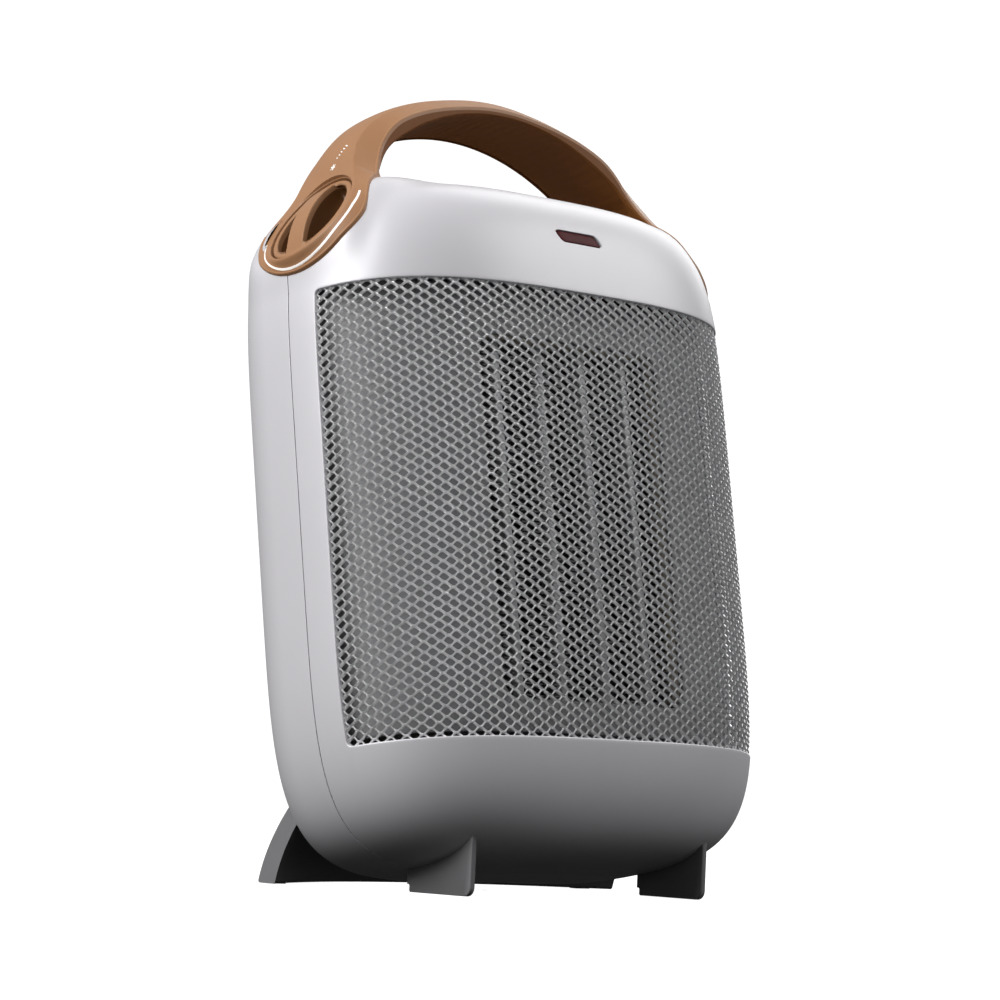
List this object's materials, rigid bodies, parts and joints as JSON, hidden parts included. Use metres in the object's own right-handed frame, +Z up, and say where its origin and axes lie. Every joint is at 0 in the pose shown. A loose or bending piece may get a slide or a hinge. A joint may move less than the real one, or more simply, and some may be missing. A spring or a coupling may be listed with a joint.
{
  "type": "ceramic space heater",
  "caption": "Leaning capsule fan heater with a wrap-around mesh grille, strap handle, round shoulder knobs, front fins and a flared rear foot.",
  "frame": {"origin": "on the floor, under the middle of the whole object's box", "axes": "+Z up, the mesh grille and the indicator face -Y, +X to the right seen from the front"},
  "size_m": [0.2086, 0.148, 0.3026],
  "materials": {
    "pearl_case": "pearl silver-white plastic with a satin clear coat",
    "grey_case": "satin grey moulded plastic",
    "silver_mesh": "silver-painted expanded steel",
    "grey_panel": "matt mid-grey heat-resistant plastic",
    "mica_board": "pale heat-resistant board",
    "bare_aluminium": "bare drawn aluminium",
    "dark_fins": "folded aluminium fin strip, dulled by heat",
    "plated_steel": "zinc-plated steel",
    "core_steel": "stacked steel laminations",
    "coil_tape": "amber insulating tape over the winding",
    "brass": "turned brass",
    "caramel_plastic": "satin caramel-brown plastic with a leather-like tone",
    "red_lens": "dark red translucent lens",
    "lamp_glass": "clear neon lamp glass",
    "black_plastic": "matt black moulded plastic",
    "foot_rubber": "black non-slip rubber"
  },
  "bodies": {
    "heater": {"front_shell": "pearl_case", "rear_shell": "pearl_case", "rear_grille": "pearl_case", "front_grille": "silver_mesh", "outlet_panel": "grey_panel", "heater_frame": "mica_board", "heater_bar_1": "bare_aluminium", "heater_bar_2": "bare_aluminium", "heater_bar_3": "bare_aluminium", "heater_bar_4": "bare_aluminium", "fin_pack_1": "dark_fins", "fin_pack_2": "dark_fins", "fin_pack_3": "dark_fins", "fin_pack_4": "dark_fins", "fin_pack_5": "dark_fins", "thermal_cutout": "plated_steel", "fan_duct": "black_plastic", "motor_core": "core_steel", "motor_coil": "coil_tape", "motor_front_bracket": "plated_steel", "motor_rear_bracket": "plated_steel", "front_bearing": "brass", "rear_bearing": "brass", "motor_screw_left": "plated_steel", "motor_screw_right": "plated_steel", "handle": "caramel_plastic", "handle_liner": "caramel_plastic", "thermostat_body": "mica_board", "selector_body": "black_plastic", "indicator_lens": "red_lens", "indicator_lamp": "lamp_glass", "indicator_holder": "black_plastic", "case_screw_lower_left": "plated_steel", "case_screw_upper_left": "plated_steel", "case_screw_lower_right": "plated_steel", "case_screw_upper_right": "plated_steel", "front_foot_left": "grey_case", "front_foot_right": "grey_case", "rear_foot": "grey_case", "rear_pad_left": "foot_rubber", "rear_pad_right": "foot_rubber", "tip_switch": "black_plastic", "power_gland": "black_plastic", "terminal_block": "mica_board"},
    "thermostat": {"thermostat_knob": "caramel_plastic", "thermostat_spindle": "brass"},
    "selector": {"selector_knob": "caramel_plastic", "selector_spindle": "brass"},
    "fan": {"fan_impeller": "black_plastic", "fan_nut": "brass", "motor_shaft": "plated_steel", "motor_rotor": "bare_aluminium"},
    "tip_plunger": {"tip_plunger": "black_plastic"}
  },
  "joints": [
    {"name": "thermostat_turn", "type": "hinge", "parent": "heater", "child": "thermostat", "pos_m": [-0.0886, 0.01138, 0.24511], "axis": [-0.8059, 0.1046, 0.5827], "range_deg": [-69, 161]},
    {"name": "selector_turn", "type": "hinge", "parent": "heater", "child": "selector", "pos_m": [0.0886, 0.01138, 0.24511], "axis": [0.8059, 0.1046, 0.5827], "range_deg": [0, 135]},
    {"name": "fan_spin", "type": "hinge", "parent": "heater", "child": "fan", "pos_m": [0, 0.00857, 0.12765], "axis": [0, 0.9843, -0.1767], "continuous": true},
    {"name": "tip_plunger_slide", "type": "slide", "parent": "heater", "child": "tip_plunger", "axis": [0, 0, -1], "range_m": [0, 0.003], "stiffness_N_per_m": 30, "springref_m": 0.006}
  ]
}
